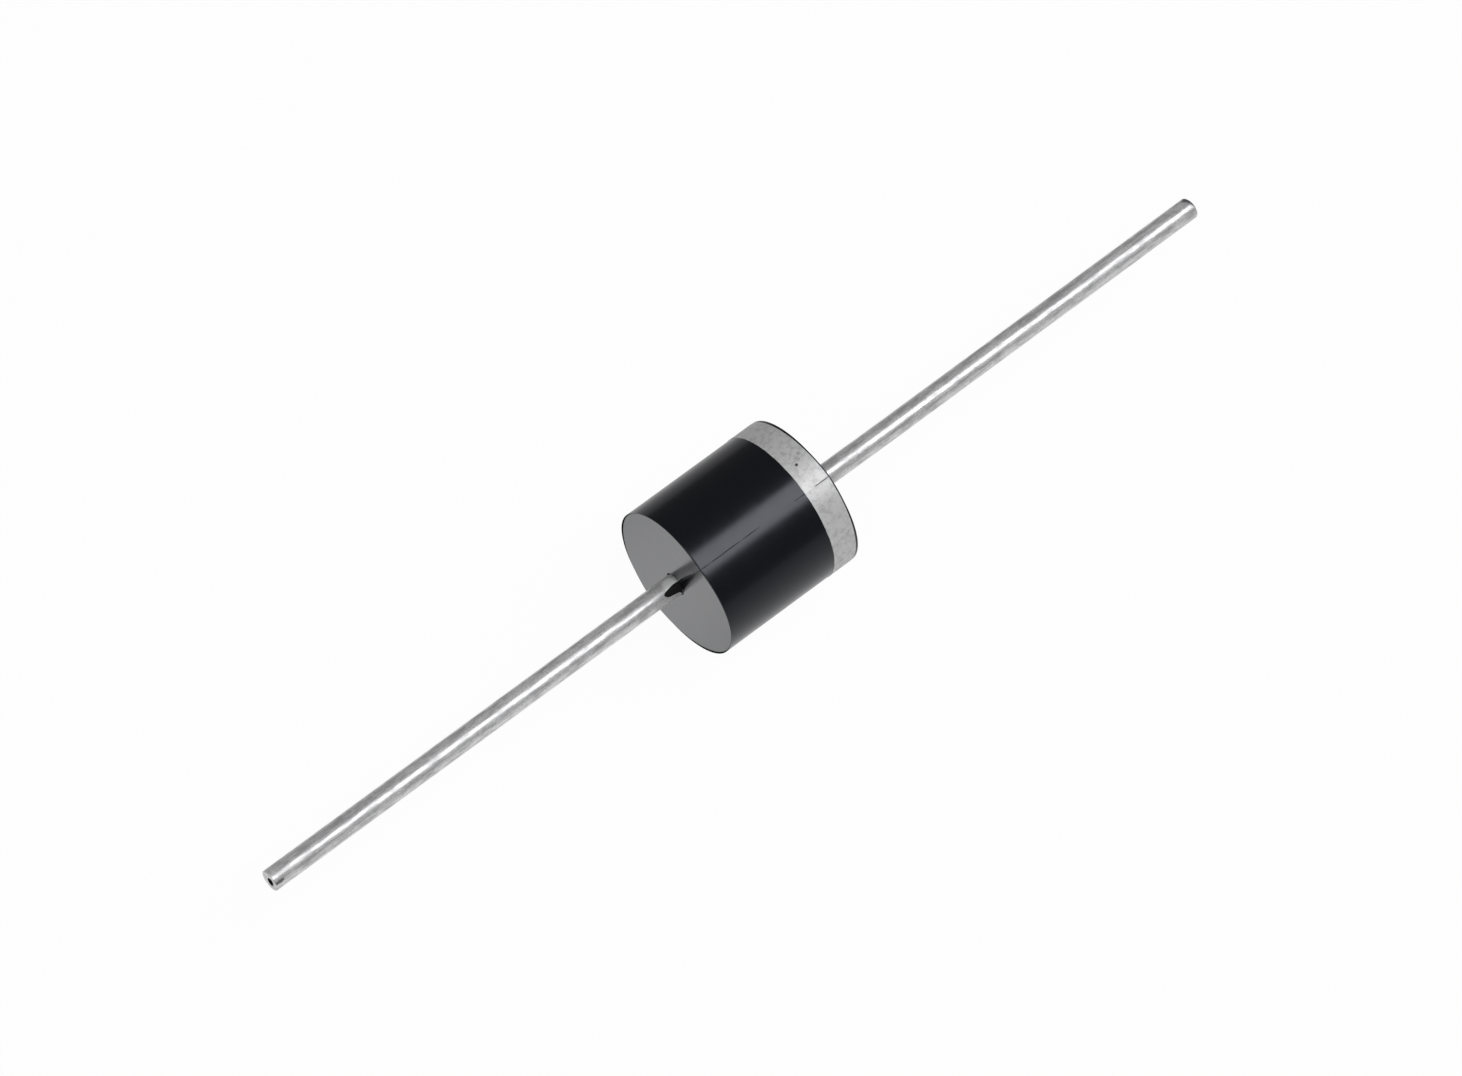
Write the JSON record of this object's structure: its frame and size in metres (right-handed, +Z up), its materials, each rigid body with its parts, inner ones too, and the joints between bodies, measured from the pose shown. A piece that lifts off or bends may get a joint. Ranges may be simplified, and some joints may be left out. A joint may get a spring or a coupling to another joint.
{
  "type": "axial rectifier diode",
  "caption": "Axial rectifier diode with a round moulded black body, a printed silver cathode band and a straight tinned wire lead at each end.",
  "frame": {"origin": "middle of the moulded body, on the common axis of the two leads", "axes": "+X along the leads toward the cathode, the end with the printed band; +Z up; +Y across the body. The diode lies on the round side of its body, with both leads level and clear of the surface."},
  "size_m": [0.0648, 0.009, 0.009],
  "materials": {
    "moulding_compound": "satin",
    "silver_ink": "satin",
    "tinned_copper": "satin",
    "die_solder": "satin",
    "silicon": "polished",
    "silicone_coating": "satin"
  },
  "bodies": {
    "root": {"moulded_body": "moulding_compound", "cathode_band": "silver_ink", "anode_lead": "tinned_copper", "cathode_lead": "tinned_copper", "anode_solder": "die_solder", "cathode_solder": "die_solder", "silicon_die": "silicon", "junction_coating": "silicone_coating"}
  },
  "joints": []
}
